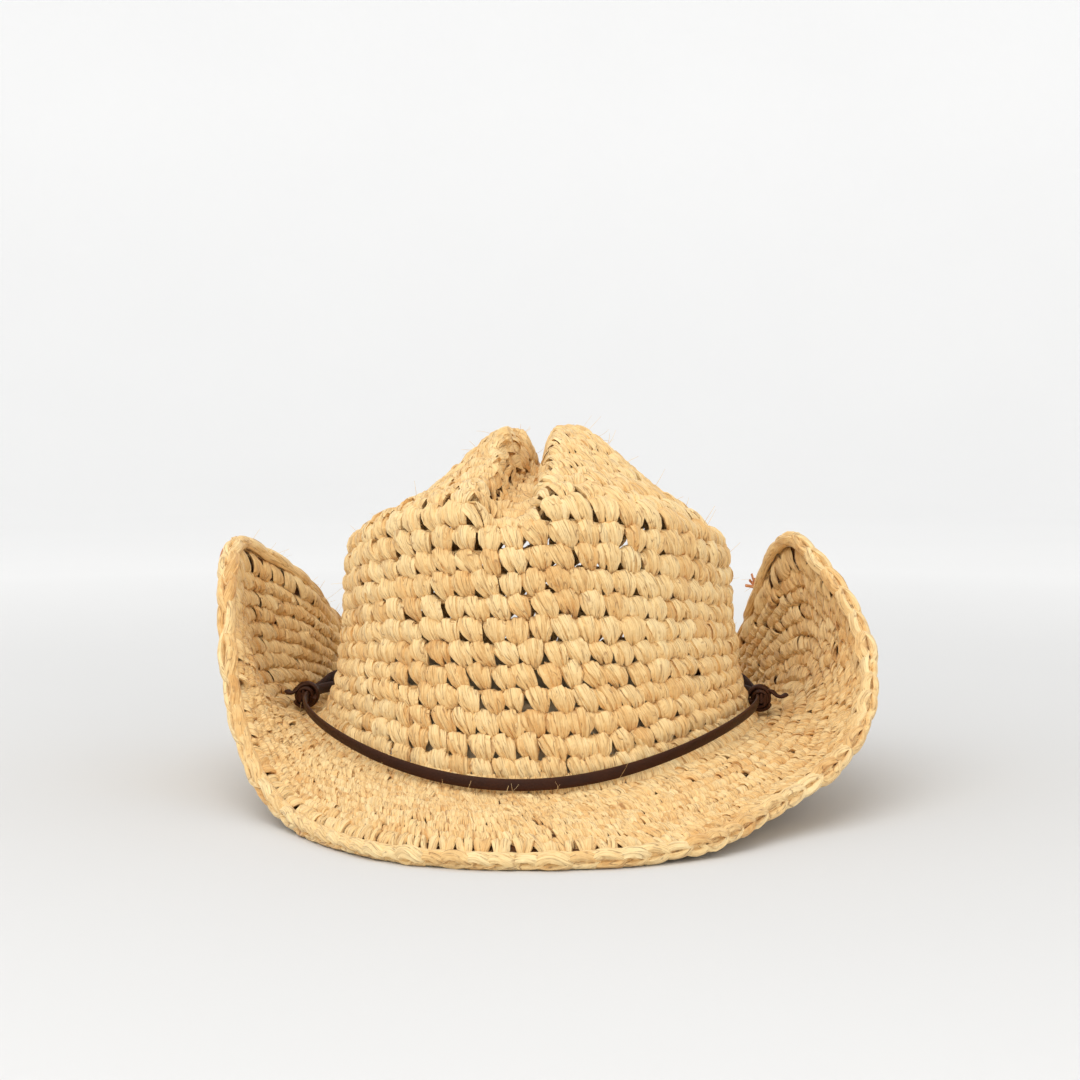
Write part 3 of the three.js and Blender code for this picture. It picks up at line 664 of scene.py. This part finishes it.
def crown_wall():
    edges = np.linspace(0.012, OPEN_TOP, OPEN_ROWS + 1)
    half = OPEN_ROWS // 2 + 1
    for name, rows, replaced in (("crown_wall_lower", range(half), ("crown_wall",)),
                                 ("crown_wall_upper", range(half, OPEN_ROWS), ())):
        strands = Strands()
        for k in rows:
            round_of_stitches(strands, edges[k], edges[k + 1], OPEN_LEGS, 0.45 * k, OPEN_STITCH, 2.6,
                              lean=-0.3, fill=0.12)
            bar_round(strands, edges[k + 1] - 0.006, -1.2, 2.4, 1.8)
        strands.make(name, RAFFIA, "hat", "raffia", *replaced)


def crown_tip():
    edges = np.linspace(OPEN_TOP, TIP_END, TIP_ROWS + 1)
    strands = Strands()
    for k in range(TIP_ROWS):
        round_of_stitches(strands, edges[k], edges[k + 1], DENSE_LEGS, 0.13 * k, TIP_STITCH, 1.9, wobble=1.3,
                          lean=-0.4, relief=0.5, sides=8, path=SHORT_PATH)
    strands.make("crown_tip_rounds", RAFFIA, "hat", "raffia", "crown_tip")
    strands = Strands()
    for k in range(TIP_ROWS):
        round_of_stitches(strands, edges[k], edges[k + 1], DENSE_LEGS, 0.13 * k + 0.06, 5.8, 1.7, wobble=1.3,
                          lean=0.4, relief=0.5, sides=6, path=SHORT_PATH, under=True)
    strands.make("crown_tip_inner_rounds", RAFFIA, "hat", "raffia")
    # A dark sheet of painted shade under the tip's stitches.
    backing("crown_tip_shade_backing", OPEN_TOP + 0.01, TIP_END + 0.01, -0.9, 0.5, 60)
    ring = Strands()
    turn = np.linspace(0, 2 * math.pi, 40, endpoint=False)[None]
    for height, lift in ((TIP_END + 0.005, 0.6), (TIP_END + 0.02, 1.0)):
        points, normal = on_hat(turn, np.full(turn.shape, height), np.full(turn.shape, lift))
        flat = np.ones(turn.shape)
        ring.add(points, facing(points, normal), 2.6 * flat, 2.2 * flat, closed=True)
    ring.make("crown_start_ring_strand", RAFFIA, "hat", "raffia", "crown_start_ring")


def head_line():
    strands = Strands()
    round_of_stitches(strands, -0.05, 0.02, DENSE_LEGS, 0.4, 6.0, 2.6)
    strands.make("head_line_stitches", RAFFIA, "hat", "raffia", "head_line_round")


def brim():
    edges = np.concatenate([[BRIM_OUTER], np.linspace(BRIM_OUTER + LAST_ROUND, BRIM_INNER, BRIM_ROWS)])
    for name, rows, replaced in (("brim_outer_rounds", range(BRIM_ROWS // 2), ("brim",)),
                                 ("brim_inner_rounds", range(BRIM_ROWS // 2, BRIM_ROWS), ())):
        strands = Strands()
        for k in rows:
            if k == 0:
                round_of_stitches(strands, edges[0], edges[1], FORKED_LEGS, 0, 9.5, 2.8, wobble=1.2, sides=8)
            else:
                round_of_stitches(strands, edges[k], edges[k + 1], DENSE_LEGS, 0.17 * k, BRIM_STITCH, 1.9,
                                  wobble=1.4, lean=-0.5, relief=0.5, flank=0.9, sides=8, path=SHORT_PATH)
        strands.make(name, RAFFIA, "hat", "raffia", *replaced)
    strands = Strands()
    for k in range(BRIM_ROWS):
        round_of_stitches(strands, edges[k], edges[k + 1], DENSE_LEGS, 0.17 * k + 0.08, 5.6, 1.7, wobble=1.3,
                          lean=0.5, relief=0.5, sides=6, path=SHORT_PATH, under=True)
    strands.make("brim_underside_rounds", RAFFIA, "hat", "raffia")
    # A dark sheet of painted shade under the brim's stitches.
    backing("brim_shade_backing", -0.97, -0.02, -0.8, 0.5, 60)


def edge_frame(angle):
    step = 0.004
    centre = brim_edge(angle)[0]
    along = brim_edge(angle + step)[0] - brim_edge(angle - step)[0]
    along /= np.linalg.norm(along, axis=-1, keepdims=True)
    inner, _ = on_hat(angle, np.full_like(angle, -0.95), np.zeros_like(angle))
    outward = centre - inner
    outward -= along * (outward * along).sum(-1, keepdims=True)
    outward /= np.linalg.norm(outward, axis=-1, keepdims=True)
    return centre, outward, np.cross(outward, along)


LINK_MM = 11.5
FLOOR_CLEAR = 1.7  # the lowest that a strand's middle may lie


def brim_edging():
    """A chain round the edge: a link's two strands part, swell and close over the next link's start."""
    count = int(round(ring_length(-1) / LINK_MM))
    pitch = 2 * math.pi / count
    t = np.linspace(0, 1, 12)[None]
    start = (np.arange(count)[:, None] + rng.normal(0, 0.06, (count, 1))) * pitch
    swell = rng.normal(1, 0.08, (count, 1))
    strands = Strands()
    for side in (1, -1):
        angle = start + (t - 0.5) * pitch * 1.75
        wrap = side * np.radians(10 + 62 * np.sin(math.pi * t ** 0.75) ** 0.8)
        wrap = wrap + rng.normal(0, 0.08, (count, 1))
        centre, outward, across = edge_frame(angle)
        normal = outward * np.cos(wrap)[..., None] + across * np.sin(wrap)[..., None]
        lift = swell * (-0.2 + 2.9 * np.sin(math.pi * (0.12 + 0.66 * t))) - 1.2 * smooth_step(t, 0.85, 1)
        points = centre + normal * lift[..., None]
        points[..., 2] = np.maximum(points[..., 2], FLOOR_CLEAR)
        fat = swell * np.sin(math.pi * (0.1 + 0.8 * t)) ** 0.6
        strands.add(points, facing(points, normal), 4.8 * fat, 2.9 * fat, creases=0.08)
    for wrapped, reach, width in ((112, 2.2, 3.4), (-112, 2.2, 3.4), (0, 0.0, 3.2)):
        stations = 360
        turn = np.linspace(0, 2 * math.pi, stations, endpoint=False)[None]
        wave = math.radians(wrapped) + 0.16 * np.sin(turn * count / 2)
        centre, outward, across = edge_frame(turn)
        normal = outward * np.cos(wave)[..., None] + across * np.sin(wave)[..., None]
        points = centre + normal * reach
        points[..., 2] = np.maximum(points[..., 2], FLOOR_CLEAR)
        fat = 1 + 0.16 * np.sin(turn * count + wrapped) + rng.normal(0, 0.05, turn.shape)
        strands.add(points, facing(points, normal), width * fat, 2.6 * fat, closed=True, creases=0.04)
    strands.make("brim_edging_chain", RAFFIA, "hat", "raffia", "brim_edging")


# ---------------------------------------------------------------- leather lace

def lace_points(angle, out, up):
    outward = np.stack([np.cos(angle) / LACE_HALF_WIDTH, np.sin(angle) / LACE_HALF_LENGTH,
                        np.zeros_like(angle)], -1)
    outward /= np.linalg.norm(outward, axis=-1, keepdims=True)
    lift = mix(LACE_SIDE_HEIGHT, LACE_END_HEIGHT, np.abs(np.sin(angle)) ** HEAD_POWER)
    centre = np.stack([LACE_SHIFT + LACE_HALF_WIDTH * np.cos(angle), LACE_HALF_LENGTH * np.sin(angle),
                       head_height(angle) + lift + up], -1)
    return centre + outward * np.asarray(out)[..., None], outward


def lace_strand(name, angle, out, up, roll, replaced):
    points, outward = lace_points(angle, out, up)
    normal = outward + np.array([0, 0, 1.0]) * roll[..., None]
    strands = Strands()
    flat = np.ones((1, len(angle)))
    strands.add(points[None], facing(points, normal)[None], LACE_WIDTH * flat, LACE_THICKNESS * flat,
                sides=16, creases=0.0)
    return strands.make(name, LEATHER, "hatband", "lace", replaced)


def lace():
    around = np.radians(np.linspace(180.2, 359.8, 160))
    lace_strand("lace_front_strand", around, 0 * around, 0 * around, 0.25 * np.sin(around * 3), "lace_front")
    around = np.radians(np.linspace(0.2, 179.8, 160))
    lace_strand("lace_back_lower_strand", around, 0 * around, 0 * around, 0 * around, "lace_back_lower")
    degrees = np.linspace(1, 179, 160)
    near = np.minimum(degrees, 180 - degrees)
    out = DOUBLE_STEP * (1 - smooth_step(near, STEP_FROM, STEP_TO))
    up = DOUBLE_RISE * smooth_step(near, RISE_FROM, STEP_FROM)
    lace_strand("lace_back_upper_strand", np.radians(degrees), out, up, 0 * up, "lace_back_upper")


def strap(strands, path, normals, width, thickness, stations=40):
    """A flat strap through a few points, with its broad side facing along the given normals."""
    path, normals = np.array(path, float), np.array(normals, float)
    knots = np.linspace(0, 1, len(path))
    t = np.linspace(0, 1, stations)
    index = np.clip((t * (len(path) - 1)).astype(int), 0, len(path) - 2)
    f = (t * (len(path) - 1) - index)[:, None]
    padded = np.concatenate([2 * path[:1] - path[1:2], path, 2 * path[-1:] - path[-2:-1]])
    p0, p1, p2, p3 = (padded[index + k] for k in range(4))
    points = 0.5 * (2 * p1 + (p2 - p0) * f + (2 * p0 - 5 * p1 + 4 * p2 - p3) * f ** 2
                    + (3 * p1 - p0 - 3 * p2 + p3) * f ** 3)
    normal = np.stack([np.interp(t, knots, normals[:, k]) for k in range(3)], -1)
    strands.add(points[None], facing(points, normal)[None], np.full((1, stations), width),
                np.full((1, stations), thickness), sides=12, creases=0.0)


def knot(side, reach, name, tail_name, replaced, tail_replaced, body):
    """Two tight turns of the lace round its strands, two more slantwise over them, and a loose tail."""
    strands = Strands()
    middle = np.array([LACE_SHIFT + side * (LACE_HALF_WIDTH + KNOT_OUT), 0, HEAD_SIDE + LACE_SIDE_HEIGHT])

    def turn(offset, slant, half_depth, half_height, from_degrees, to_degrees):
        a = np.radians(np.linspace(from_degrees, to_degrees, 15))
        run = offset + slant * np.linspace(-0.5, 0.5, 15)
        path = np.stack([side * half_depth * np.cos(a), run, half_height * np.sin(a)], -1) + middle
        normals = np.stack([side * np.cos(a), 0 * a, np.sin(a)], -1)
        strap(strands, path, normals, 4.3, 1.7, 48)

    for out, tilt in ((-1.3, 0.6), (0.5, -0.4), (2.0, 0.3)):
        core = np.array([(side * out, y, tilt * y / 5) for y in (-5.6, -2.5, 0, 2.5, 5.6)]) + middle
        strap(strands, core, [(side, 0, 0)] * 5, 4.6, 1.5, 12)
    turn(-2.7, 1.0, 3.0, 3.2, -175, 190)
    turn(2.7, 1.0, 3.0, 3.2, -175, 190)
    turn(0, 7.0, 4.3, 4.5, -175, 165)
    turn(0.4, -7.5, 5.2, 5.0, 20, 330)
    strands.make(name, LEATHER, body, "lace", replaced)
    tail = Strands()
    path = np.array([(3.0, 1.5, 2.8), (5.4, 0.2, 3.0), (7.4, -1.0, 1.4), (9.6, -1.4, 0.8), (11.8, -0.4, 1.8)])
    path = path * (side * reach, 1, 1) + middle
    strap(tail, path, [(0.1 * side, 0.1, 1)] * 5, 4.0, 1.6)
    tail.make(tail_name, LEATHER, body, "lace", tail_replaced)


# ---------------------------------------------------------------- sweatband

def band_sheet(name, low, high, depth, thickness, from_angle, to_angle, around, rows, replaced):
    closed = abs(to_angle - from_angle) > 6.28
    angle = np.linspace(from_angle, to_angle, around, endpoint=not closed)
    a, h = np.meshgrid(angle, np.linspace(low, high, rows))
    sag = 0.35 * np.sin(a * 9) * np.sin(a * 4 + 1)
    points, _ = on_hat(a, h, depth + sag)
    inner, _ = on_hat(a, h, depth + sag - thickness)
    grid = np.concatenate([points, inner[::-1]])
    total = 2 * rows
    columns = around if closed else around - 1
    j, i = np.meshgrid(np.arange(total), np.arange(columns), indexing="ij")
    j1, i1 = (j + 1) % total, (i + 1) % around
    corners = [j * around + i, j * around + i1, j1 * around + i1, j1 * around + i]
    faces = [np.stack(corners, -1).reshape(-1, 4)]
    if not closed:
        for column, order in ((0, 1), (around - 1, -1)):
            faces.append((np.arange(total) * around + column)[::order][None])
    run = a * 95
    strand = np.stack([run, h * 190, np.zeros_like(a)], -1)
    strand = np.concatenate([strand, strand[::-1]]).reshape(-1, 3)
    return make_object(name, grid.reshape(-1, 3), faces, COTTON, "hat", replaced, strand,
                       np.full(total * around, 0.5))


def sweatband():
    band_sheet("sweatband_cloth", 0.035, 0.17, -2.9, 1.0, 0, 2 * math.pi, 360, 8, ("sweatband",))
    back = math.pi / 2
    tape = math.radians(5)
    band_sheet("sweatband_tape_cloth", 0.06, 0.16, -4.4, 0.8, back - tape, back + tape, 12, 6,
               ("sweatband_back_tape",))
    count = 190
    pitch = 2 * math.pi / count
    t = np.linspace(0, 1, 6)[None]
    stitches = Strands()
    for height in (0.047, 0.158):
        angle = np.arange(count)[:, None] * pitch + t * pitch * 0.72
        lift = -3.95 - 0.35 * np.sin(math.pi * t) * np.ones((count, 1))
        sag = 0.35 * np.sin(angle * 9) * np.sin(angle * 4 + 1)
        points, normal = on_hat(angle, np.full(angle.shape, height), lift + sag)
        flat = np.ones(angle.shape)
        stitches.add(points, facing(points, normal), 0.7 * flat, 0.6 * flat, sides=6, creases=0)
    stitches.make("sweatband_thread_stitches", THREAD, "hat", "thread", "sweatband_stitching")


# ---------------------------------------------------------------- loose ends

TUFT_AT, LOOP_AT = 24.0, 176.0  # degrees round the hat


def loose_ends():
    centre, outward, across = (x[0] for x in edge_frame(np.radians(np.array([TUFT_AT]))))
    tuft = Strands()
    for _ in range(9):
        swing = rng.normal(0, 0.5, 3)
        path = [centre + outward * 2, centre + outward * 5.5 + swing, centre + outward * 8 + swing * 3.5]
        strap(tuft, path, [across] * 3, 1.5, 0.8, 8)
    tuft.make("edging_end_tuft_strands", RAFFIA_END, "hat", "raffia_end", "edging_end_tuft")
    centre, outward, across = (x[0] for x in edge_frame(np.radians(np.array([LOOP_AT]))))
    loop = Strands()
    foot = centre - across * 5.0
    down = np.array([0, 0, -1.0])
    away = np.array([-1.0, 0, 0])
    path = [foot + down * (9 - 9 * math.cos(a)) + away * 4.5 * math.sin(a)
            for a in np.linspace(0, math.pi, 7)]
    strap(loop, path, [(0, 1, 0)] * 7, 2.4, 1.4, 30)
    loop.make("edging_end_loop_strand", RAFFIA_END, "hat", "raffia_end", "edging_end_loop")


def fly_aways():
    """A few thin fibres that stand off the crown and the brim's edge."""
    fibres = Strands()
    count = 760
    angle = rng.uniform(0, 2 * math.pi, count)
    height = np.where(rng.uniform(size=count) < 0.45, -0.995, rng.uniform(-0.9, 0.9, count))
    points, normal = on_hat(angle, height, np.full(count, 1.5))
    drift = rng.normal(0, 1, (count, 3))
    drift /= np.linalg.norm(drift, axis=-1, keepdims=True)
    reach = rng.uniform(3, 9, count)[:, None]
    t = np.linspace(0, 1, 6)
    path = np.stack([points + (normal * 0.5 + drift * 0.8) * reach * s + drift[:, [1, 2, 0]] * 2.5 * s * s
                     for s in t], 1)
    thin = np.full((count, 6), 0.22) * (1 - 0.6 * t)
    fibres.add(path, np.repeat(drift[:, None, [2, 0, 1]], 6, 1), thin, thin * 0.7, sides=4, creases=0)
    fibres.make("loose_fibres", RAFFIA, "hat", "raffia")


# ---------------------------------------------------------------- stage

def stage():
    """A pale floor that bends up into a wall all round, so that every view has the same plain backdrop."""
    floor = bpy.data.meshes.new("floor")
    radius, bend, height, around = 3.4, 1.2, 2.4, 64
    profile = [(0.0, 0.0), (1.0, 0.0), (radius - bend, 0.0)]
    profile += [(radius - bend + bend * math.sin(a), bend - bend * math.cos(a))
                for a in np.linspace(0.1, math.pi / 2, 14)]
    profile.append((radius, height))
    turn = np.linspace(0, 2 * math.pi, around, endpoint=False)
    points = [(r * math.cos(a), r * math.sin(a), z) for r, z in profile for a in turn]
    faces = [(j * around + i, j * around + (i + 1) % around, (j + 1) * around + (i + 1) % around,
              (j + 1) * around + i) for j in range(len(profile) - 1) for i in range(around)]
    floor.from_pydata(points, [], faces)
    for polygon in floor.polygons:
        polygon.use_smooth = True
    n = Nodes("studio_paper")
    place = n.new("ShaderNodeTexCoord").outputs["Object"]
    cloud = n.new("ShaderNodeTexNoise", Vector=place, Scale=3.0, Detail=2.0).outputs[0]
    height = n.new("ShaderNodeSeparateXYZ", Vector=place).outputs[2]
    away = n.new("ShaderNodeVectorMath", operation="LENGTH", Vector=place).outputs["Value"]
    glow = n.math("ADD", n.math("MULTIPLY", n.ramp(n.math("MULTIPLY", away, 0.5), (0.1, (0, 0, 0, 1)),
                                                   (0.6, (1, 1, 1, 1))), 0.24),
                  n.math("MULTIPLY", n.ramp(height, (0.0, (0, 0, 0, 1)), (0.7, (1, 1, 1, 1))), 0.06))
    n.set(Base_Color=n.mix(cloud, (0.68, 0.685, 0.69, 1), (0.71, 0.715, 0.72, 1)), Roughness=0.9,
          Specular_IOR_Level=0.1, Emission_Color=(1, 1, 1, 1), Emission_Strength=glow)
    floor.materials.append(n.material)
    paper = bpy.data.objects.new("studio_floor", floor)
    bpy.context.scene.collection.objects.link(paper)


def area_light(name, place, target, size, power, color):
    data = bpy.data.lights.new(name, "AREA")
    data.shape = "DISK"
    data.size = size
    data.energy = power
    data.color = color
    lamp = bpy.data.objects.new(name, data)
    lamp.location = place
    lamp.rotation_euler = (Vector(target) - Vector(place)).to_track_quat("-Z", "Y").to_euler()
    bpy.context.scene.collection.objects.link(lamp)


def lights():
    world = bpy.data.worlds.new("studio")
    bpy.context.scene.world = world
    world.use_nodes = True
    world.node_tree.nodes["Background"].inputs[0].default_value = (1.0, 0.99, 0.97, 1)
    world.node_tree.nodes["Background"].inputs[1].default_value = 0.80
    centre = (0, 0, 0.07)
    area_light("key", (-0.45, -1.0, 1.6), centre, 1.9, 17, (1.0, 0.975, 0.94))
    area_light("fill", (0.9, -1.3, 0.5), centre, 1.0, 2, (1.0, 0.96, 0.92))


def camera():
    """The photograph's view: from a little above and right of straight ahead, aimed over the hat."""
    distance, azimuth, elevation = 1.0, math.radians(3), math.radians(10)
    aim_above, aim_right = math.radians(6.15), math.radians(0.04)
    pixels_per_metre, frame_pixels = 2227, 1080
    back = Vector((math.sin(azimuth) * math.cos(elevation), -math.cos(azimuth) * math.cos(elevation),
                   math.sin(elevation)))
    data = bpy.data.cameras.new("photo_camera")
    data.sensor_width = 36
    data.lens = data.sensor_width * distance * pixels_per_metre / frame_pixels
    data.clip_start = 0.02
    eye = bpy.data.objects.new("photo_camera", data)
    eye.location = back * distance
    turn = (-back).to_track_quat("-Z", "Y") @ Euler((aim_above, -aim_right, 0)).to_quaternion()
    eye.rotation_euler = turn.to_euler()
    bpy.context.scene.collection.objects.link(eye)
    bpy.context.scene.camera = eye


# ---------------------------------------------------------------- the hat

crown_wall()
crown_tip()
head_line()
brim()
brim_edging()
lace()
knot(-1, 0.72, "knot_left_turns", "tail_left_strap", "knot_left", "tail_left", "left_knot")
knot(1, 1.0, "knot_right_turns", "tail_right_strap", "knot_right", "tail_right", "right_knot")
sweatband()
loose_ends()
fly_aways()

for node, metal in (("brim_wire", STEEL), ("wire_sleeve", ALUMINIUM)):
    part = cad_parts[node]
    part.data.materials.clear()
    part.data.materials.append(metal)

stage()
lights()
camera()
bpy.context.scene.view_settings.view_transform = "Standard"
